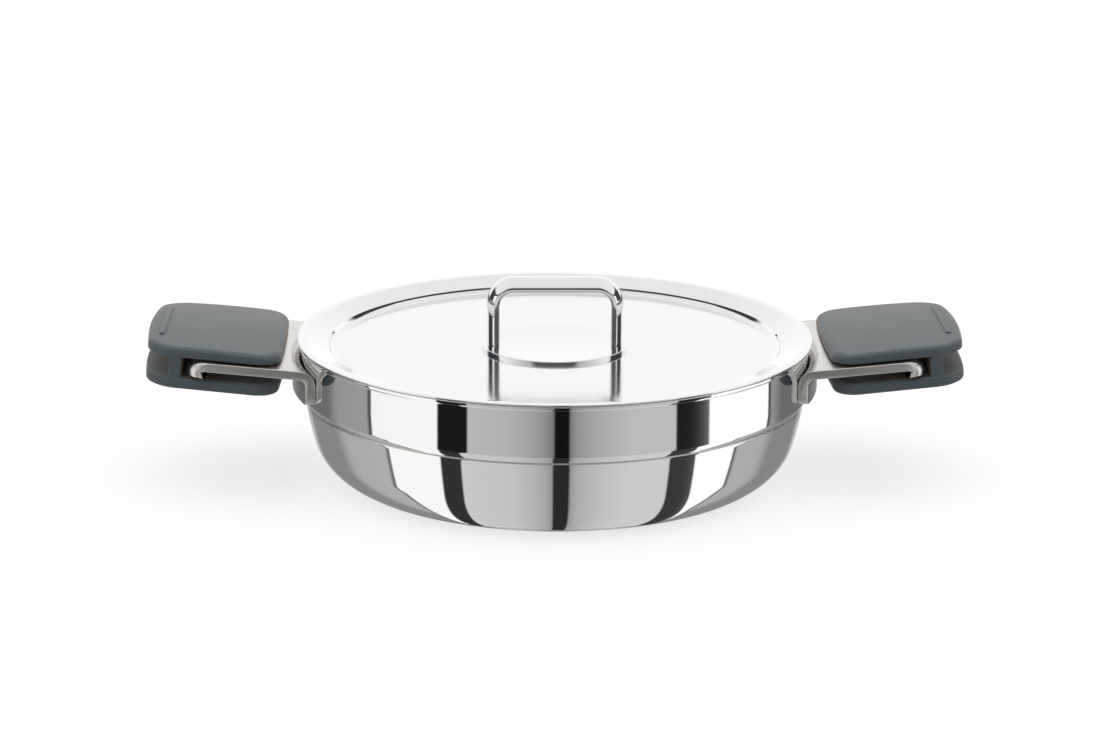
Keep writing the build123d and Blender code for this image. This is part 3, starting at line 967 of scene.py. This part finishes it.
def tray_rings(sizes, plan):
    """Rings of the tray's edge at the lower pad's top and of its floor."""
    ring = [point - normal * sizes.tray_rim for point, normal in plan]
    ring = [Vector((min(point.x, sizes.tray_end), point.y)) for point in ring]
    return [[(*point, sizes.low_top - drop) for point in ring] for drop in (0.0, sizes.tray_depth)]


def add_web(work, sizes, plan):
    """Web between the pads, cut from the plan so that its sides follow theirs."""
    ends = (sizes.web_start, sizes.web_start + sizes.web_thickness)
    near = 0.004
    half = [max(point.y - sizes.web_inset for point, normal in plan if abs(point.x - end) < near)
            for end in ends]
    corners = [(ends[0], -half[0]), (ends[1], -half[1]), (ends[1], half[1]), (ends[0], half[0])]
    levels = (sizes.low_top - sizes.low_thickness / 2, sizes.crest - sizes.rib_height - sizes.roll)
    outline = with_normals(fine_outline(corners, [sizes.edge] * 4, web_step))
    add_skin(work, [[(*point, level) for point, normal in outline] for level in levels],
             (sum(ends) / 2, 0, levels[0]), (sum(ends) / 2, 0, levels[1]))


def add_rib(work, sizes, crown):
    """Raised rib across the upper pad, near its outer end."""
    rib_x = sizes.end - sizes.rib_margin
    half_width, half_length = sizes.rib_width / 2, sizes.rib_length / 2
    near, far = rib_x - half_width, rib_x + half_width
    corners = [(near, -half_length), (far, -half_length), (far, half_length), (near, half_length)]
    round_share = 0.9
    bar = fine_outline(corners, [half_width * round_share] * 4, fine_step)
    add_pad(work, with_normals(bar), lambda point: crown(point) - sizes.rib_height,
            lambda point: crown(point) + sizes.rib_height, lambda normal: sizes.rib_rounding / 4,
            lambda normal: sizes.rib_rounding, Vector((rib_x, 0)))


def grip_mesh(sizes):
    """Mesh of the right grip in the plate's own frame, then set on its plate."""
    work = bmesh.new()
    plan = grip_plan(sizes)
    middle = Vector(((sizes.start + sizes.end) / 2, 0))

    def crown(point):
        return crown_level(sizes, point)

    def rolled(normal):
        return sizes.rounding + (sizes.roll - sizes.rounding) * max(0.0, -normal.x) ** 2

    def eased(normal):
        return sizes.edge

    add_pad(work, plan, lambda point: sizes.top_gap, crown, eased, rolled, middle)
    add_pad(work, plan, lambda point: sizes.low_top - sizes.low_thickness, lambda point: sizes.low_top,
            lambda normal: sizes.rounding, eased, middle, tray_rings(sizes, plan))
    add_web(work, sizes, plan)
    add_rib(work, sizes, crown)
    work.transform(Matrix.Translation((sizes.plate_root, 0, sizes.plate_level))
                   @ Matrix.Rotation(-sizes.plate_rise, 4, "Y"))
    return outward_mesh(work, "grip", 40)


class PAN_OT_grips(bpy.types.Operator):
    """Make the two slip-on silicone grips"""
    bl_idname = "pan.grips"
    bl_label = "Grips"

    def execute(self, context):
        mesh = grip_mesh(context.scene.pan_grip_sizes)
        both_sides(mesh, grip_silicone(), "sleeve", "grip_silicone", "grip")
        return {"FINISHED"}


# Camera of the photograph, in millimetres and degrees round the pan's axis
camera_distance = 1700.0
camera_height = 536.0
camera_aside = -2.63
camera_pitch = 15.62
camera_roll = 0.34
camera_turn = -1.5
focal_pixels = 3117.0
photo_width = 1100
sensor_width = 36.0


def make_camera(scene):
    """Camera at the photograph's place, turned round the pan's axis."""
    data = bpy.data.cameras.new("camera")
    data.sensor_width = sensor_width
    data.lens = focal_pixels * sensor_width / photo_width
    camera = linked("camera", data)
    turn = Matrix.Rotation(radians(camera_turn), 4, "Z")
    place = Matrix.Translation(Vector((camera_aside, -camera_distance, camera_height)) / 1000)
    aim = Matrix.Rotation(radians(90 - camera_pitch), 4, "X") @ Matrix.Rotation(radians(camera_roll), 4, "Z")
    camera.matrix_world = turn @ place @ aim
    scene.camera = camera


def ramp(tree, value, stops):
    """Colour ramp through (place, grey) stops."""
    made = node(tree, "ShaderNodeValToRGB", {"Fac": value})
    elements = made.color_ramp.elements
    while len(elements) < len(stops):
        elements.new(1.0)
    for element, (place, grey) in zip(elements, stops):
        element.position = place
        element.color = (grey, grey, grey, 1)
    return made.outputs[0]


def linear(grey):
    """Linear light of a grey given from 0 to 255."""
    share = grey / 255
    return share / 12.92 if share <= 0.04045 else ((share + 0.055) / 1.055) ** 2.4


# Studio as the polished wall mirrors it: greys of the panels at turns round the pan, in degrees
studio_turns = [
    (-60, 240), (-23, 246), (-21, 184), (-10, 176), (-5, 160), (-2, 143), (0, 114), (2, 108), (3.4, 118),
    (5, 147), (9, 165), (17, 186), (28, 187), (31, 255), (60, 255)]
widest_turn = 60
# Dark frames between the panels: start and end in the band, the same in the lower wall, grey at both edges
studio_frames = [
    (-26.75, -19.5, -26.5, -21.3, 24, 24), (0.0, 3.35, -0.35, 3.5, 18, 18),
    (27.9, 36.6, 26.85, 33.7, 30, 112)]
frame_softness = 0.25
# Outer ends of the lit panels, as degrees from the camera at tilts of the wall up to the steepest
left_ends = [(0, 45.2), (7, 40.6), (15.5, 39.9), (20, 37.2), (30, 34.4), (45, 30.5), (65, 25.3)]
right_ends = [(0, 56.1), (7, 45.2), (15.5, 43.7), (20, 41.6), (35, 36.4), (65, 32.3)]
steepest = 65
# Room past the panels, as greys from behind the pan to a little in front of its sides
room_greys = [(0.0, 255), (0.04, 190), (0.12, 104), (0.36, 106), (0.46, 146), (0.75, 152), (1.0, 170)]
room_front = 0.3
room_edge = 70
# Degrees past the panels' ends over which they turn into the room's edge, and that edge into the room
panel_fade = (-0.3, 0.2)
edge_fade = (0.5, 1.6)
# Tilts between the band and the lower wall, which the photograph shows lighter
lower_wall = (2, 6)
lower_gamma = 0.75
# Dip of the camera's view of the wall, and the world's strength for mirrors and for matte surfaces
view_dip = radians(17.2)
mirror_level = 1.15
matte_level = 0.6
# Ceiling over the lid, as greys from the horizon to straight up, and its grey towards the camera
ceiling_greys = [(0.0, 252), (0.3, 243), (0.6, 231), (1.0, 226)]
ceiling_front = 190
ceiling_fade = (0.1, 0.7)
# Dark flags over the lid: where each fades out, by how far in front and how high a mirrored ray goes
flag_colour = (0.035, 0.043, 0.05, 1)
flags_back = (-0.7, -0.6)
side_flag = ((-0.16, -0.1), (0.4, 0.5))
front_flag = ((0.74, 0.84), (0.3, 0.36))
front_grey = 80
# Strip that the lid's recess wall mirrors: its height follows a curve of how far in front it is
strip_curve = (0.387, 0.3, 0.06)
strip_fade = ((0.6, 0.85), (0.045, 0.055))


def blended(tree, share, first, second):
    """Colour between two colours or sockets."""
    return node(tree, "ShaderNodeMix", {"Factor": share, 6: first, 7: second}, data_type="RGBA").outputs[2]


def grey(level):
    """Colour of a grey given from 0 to 255."""
    return (linear(level), linear(level), linear(level), 1)


def grey_ramp(tree, value, stops):
    """Colour ramp through (place, grey) stops whose greys run from 0 to 255."""
    return ramp(tree, value, [(place, linear(level)) for place, level in stops])


def rising(tree, value, start, end):
    """From 0 to 1 while a value goes from start to end."""
    return spanned(tree, value, 0, 1, start, end)


def falling(tree, value, start, end):
    """From 1 to 0 while a value goes from start to end."""
    return spanned(tree, value, 1, 0, start, end)


def turn_and_tilt(tree, aside, height, front):
    """Turn round the pan and tilt of the wall, in degrees, at the place that mirrors a direction."""
    ahead = plus(tree, front, cos(view_dip))
    turn = math(tree, "DEGREES", math(tree, "ARCTAN2", aside, ahead))
    fall = minus(tree, -sin(view_dip), height)
    squares = [times(tree, value, value) for value in (aside, ahead, fall)]
    length = math(tree, "SQRT", plus(tree, plus(tree, squares[0], squares[1]), squares[2]))
    return turn, math(tree, "DEGREES", math(tree, "ARCSINE", math(tree, "DIVIDE", fall, length)))


def framed_panels(tree, turn, tilt):
    """Lit panels with the dark frames between them."""
    panels = grey_ramp(tree, rising(tree, turn, -widest_turn, widest_turn),
                       [((place + widest_turn) / (2 * widest_turn), level) for place, level in studio_turns])
    low = rising(tree, tilt, *lower_wall)
    fade_power = 4.0
    for begin, finish, low_begin, low_finish, first, last in studio_frames:
        start = plus(tree, begin, times(tree, low, low_begin - begin))
        end = plus(tree, finish, times(tree, low, low_finish - finish))
        fade = math(tree, "POWER", rising(tree, turn, begin, finish), fade_power)
        inside = times(tree, rising(tree, minus(tree, turn, start), -frame_softness, frame_softness),
                       rising(tree, minus(tree, end, turn), -frame_softness, frame_softness))
        panels = blended(tree, inside, panels, blended(tree, fade, grey(first), grey(last)))
    return panels


def past_ends(tree, turn, tilt):
    """How far past the panels' outer ends a turn lies, in degrees."""
    steep = rising(tree, tilt, 0, steepest)
    left, right = [
        times(tree, widest_turn,
              ramp(tree, steep, [(slope / steepest, place / widest_turn) for slope, place in ends]))
        for ends in (left_ends, right_ends)]
    return math(tree, "MAXIMUM", minus(tree, times(tree, turn, -1.0), left), minus(tree, turn, right))


def wall_studio(tree, aside, height, front):
    """What the pan's wall mirrors: lit panels and dark frames in front, a dim room past them."""
    turn, tilt = turn_and_tilt(tree, aside, height, front)
    past = past_ends(tree, turn, tilt)
    room = blended(tree, rising(tree, past, *edge_fade), grey(room_edge),
                   grey_ramp(tree, rising(tree, front, -1, room_front), room_greys))
    whole = blended(tree, rising(tree, past, *panel_fade), framed_panels(tree, turn, tilt), room)
    softer = spanned(tree, tilt, 1.0, lower_gamma, *lower_wall)
    return node(tree, "ShaderNodeGamma", {"Color": whole, "Gamma": softer}).outputs[0]


def ceiling_studio(tree, height, front):
    """What the lid mirrors: a bright ceiling, dimmer towards the camera, with dark flags under it."""
    bright = blended(tree, rising(tree, front, *ceiling_fade), grey_ramp(tree, height, ceiling_greys),
                     grey(ceiling_front))
    side = times(tree, falling(tree, front, *side_flag[0]), falling(tree, height, *side_flag[1]))
    curve = minus(tree, plus(tree, strip_curve[0], times(tree, front, strip_curve[1])),
                  times(tree, times(tree, front, front), strip_curve[2]))
    away = math(tree, "ABSOLUTE", minus(tree, height, curve))
    strip = times(tree, falling(tree, front, *strip_fade[0]), falling(tree, away, *strip_fade[1]))
    beside = times(tree, rising(tree, front, *flags_back), math(tree, "MAXIMUM", side, strip))
    before = times(tree, rising(tree, front, *front_flag[0]), falling(tree, height, *front_flag[1]))
    return blended(tree, beside, blended(tree, before, bright, grey(front_grey)), flag_colour)


def world_nodes(scene):
    """World: plain light for matte surfaces, the studio's panels for mirrors, white for the camera."""
    world = bpy.data.worlds.new("studio")
    scene.world = world
    world.use_nodes = True
    tree = world.node_tree
    tree.nodes.clear()
    direction = node(tree, "ShaderNodeTexCoord").outputs["Generated"]
    turned = node(tree, "ShaderNodeVectorRotate",
                  {"Vector": direction, "Angle": radians(-camera_turn)}, rotation_type="Z_AXIS")
    aside, back, height = parts_of(tree, turned.outputs[0])
    front = times(tree, back, -1.0)
    horizon = 0.03
    mirror = blended(tree, rising(tree, height, -horizon, horizon), wall_studio(tree, aside, height, front),
                     ceiling_studio(tree, height, front))
    path = node(tree, "ShaderNodeLightPath")
    white = (1, 1, 1, 1)
    glossy, plain, bare = [
        node(tree, "ShaderNodeBackground", {"Color": colour, "Strength": level}).outputs[0]
        for colour, level in ((mirror, mirror_level), (white, matte_level), (white, 1.0))]
    seen = node(tree, "ShaderNodeMixShader", {0: path.outputs["Is Glossy Ray"], 1: plain, 2: glossy})
    shown = math(tree, "MAXIMUM", path.outputs["Is Camera Ray"], path.outputs["Is Transmission Ray"])
    final = node(tree, "ShaderNodeMixShader", {0: shown, 1: seen.outputs[0], 2: bare})
    output = node(tree, "ShaderNodeOutputWorld")
    tree.links.new(final.outputs[0], output.inputs["Surface"])


# Colour of the floor, and the light added to it where the camera sees it
floor_colour = (0.8, 0.8, 0.8)
floor_lift = 0.58


def floor_material():
    """White floor that keeps the pan's soft shadow and stays white to the camera elsewhere."""
    material, tree, shader = new_material("floor", floor_colour, 0.0, 0.9)
    if tree:
        shader.inputs["Specular IOR Level"].default_value = 0.0
        shader.inputs["Emission Color"].default_value = (1, 1, 1, 1)
        seen = node(tree, "ShaderNodeLightPath").outputs["Is Camera Ray"]
        tree.links.new(times(tree, seen, floor_lift), shader.inputs["Emission Strength"])
        tinted(tree, shader, mottling(3.0, 2.0)(tree), floor_colour, 0.99, 1.0)
    return material


def make_floor():
    """Wide floor just under the pan, left out of mirrors."""
    reach = 6.0
    just_under = -0.0002
    corners = [(-reach, -reach, 0), (reach, -reach, 0), (reach, reach, 0), (-reach, reach, 0)]
    mesh = bpy.data.meshes.new("floor")
    mesh.from_pydata(corners, [], [(0, 1, 2, 3)])
    floor = linked("floor", mesh)
    floor.location = (0, 0, just_under)
    floor.visible_glossy = False
    paint(floor, floor_material())
    return floor


def area_lamp(unlit, name, place, aim, sides, power):
    """Soft lamp that matte surfaces see; mirrors don't, and an unlit collection stays out of its light."""
    data = bpy.data.lights.new(name, "AREA")
    data.shape = "RECTANGLE"
    data.size, data.size_y = sides
    data.energy = power
    lamp = linked(name, data)
    lamp.location = place
    lamp.rotation_mode = "QUATERNION"
    lamp.rotation_quaternion = (Vector(aim) - Vector(place)).to_track_quat("-Z", "Y")
    lamp.visible_glossy = False
    lamp.light_linking.receiver_collection = unlit


class PAN_OT_studio(bpy.types.Operator):
    """Make the floor, the soft light, the world and the camera"""
    bl_idname = "pan.studio"
    bl_label = "Studio"

    def execute(self, context):
        scene = context.scene
        scene.view_settings.view_transform = "Standard"
        unlit = bpy.data.collections.new("unlit_floor")
        unlit.objects.link(make_floor())
        unlit.collection_objects[0].light_linking.link_state = "EXCLUDE"
        area_lamp(unlit, "top_light", (0, 0.1, 1.6), (0, 0, 0), (1.6, 1.2), 14.0)
        area_lamp(unlit, "front_light", (-0.9, -1.2, 1.0), (0, 0, 0.05), (0.9, 0.9), 3.0)
        world_nodes(scene)
        make_camera(scene)
        return {"FINISHED"}


class PAN_PT_panel(bpy.types.Panel):
    """Lists the steps and their settings in the sidebar"""
    bl_label = "Lidded low pan"
    bl_idname = "PAN_PT_panel"
    bl_space_type = "VIEW_3D"
    bl_region_type = "UI"
    bl_category = "Pan"

    def draw(self, context):
        for step in STEPS:
            self.layout.operator(step.bl_idname)
        for name, group in GROUPS.items():
            box = self.layout.box()
            for entry in group.__annotations__:
                box.prop(getattr(context.scene, name), entry)


STEPS = (PAN_OT_body, PAN_OT_lid, PAN_OT_lid_handle, PAN_OT_side_handles, PAN_OT_grips, PAN_OT_studio)
GROUPS = {"pan_sizes": PanSizes, "pan_handle_sizes": HandleSizes, "pan_grip_sizes": GripSizes,
          "pan_finishes": Finishes}


def register():
    for name, group in GROUPS.items():
        bpy.utils.register_class(group)
        setattr(bpy.types.Scene, name, PointerProperty(type=group))
    for entry in (*STEPS, PAN_PT_panel):
        bpy.utils.register_class(entry)


def unregister():
    for entry in (PAN_PT_panel, *reversed(STEPS)):
        bpy.utils.unregister_class(entry)
    for name, group in GROUPS.items():
        delattr(bpy.types.Scene, name)
        bpy.utils.unregister_class(group)


def main():
    """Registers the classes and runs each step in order."""
    register()
    for step in STEPS:
        family, name = step.bl_idname.split(".")
        getattr(getattr(bpy.ops, family), name)()


if __name__ == "__main__":
    main()
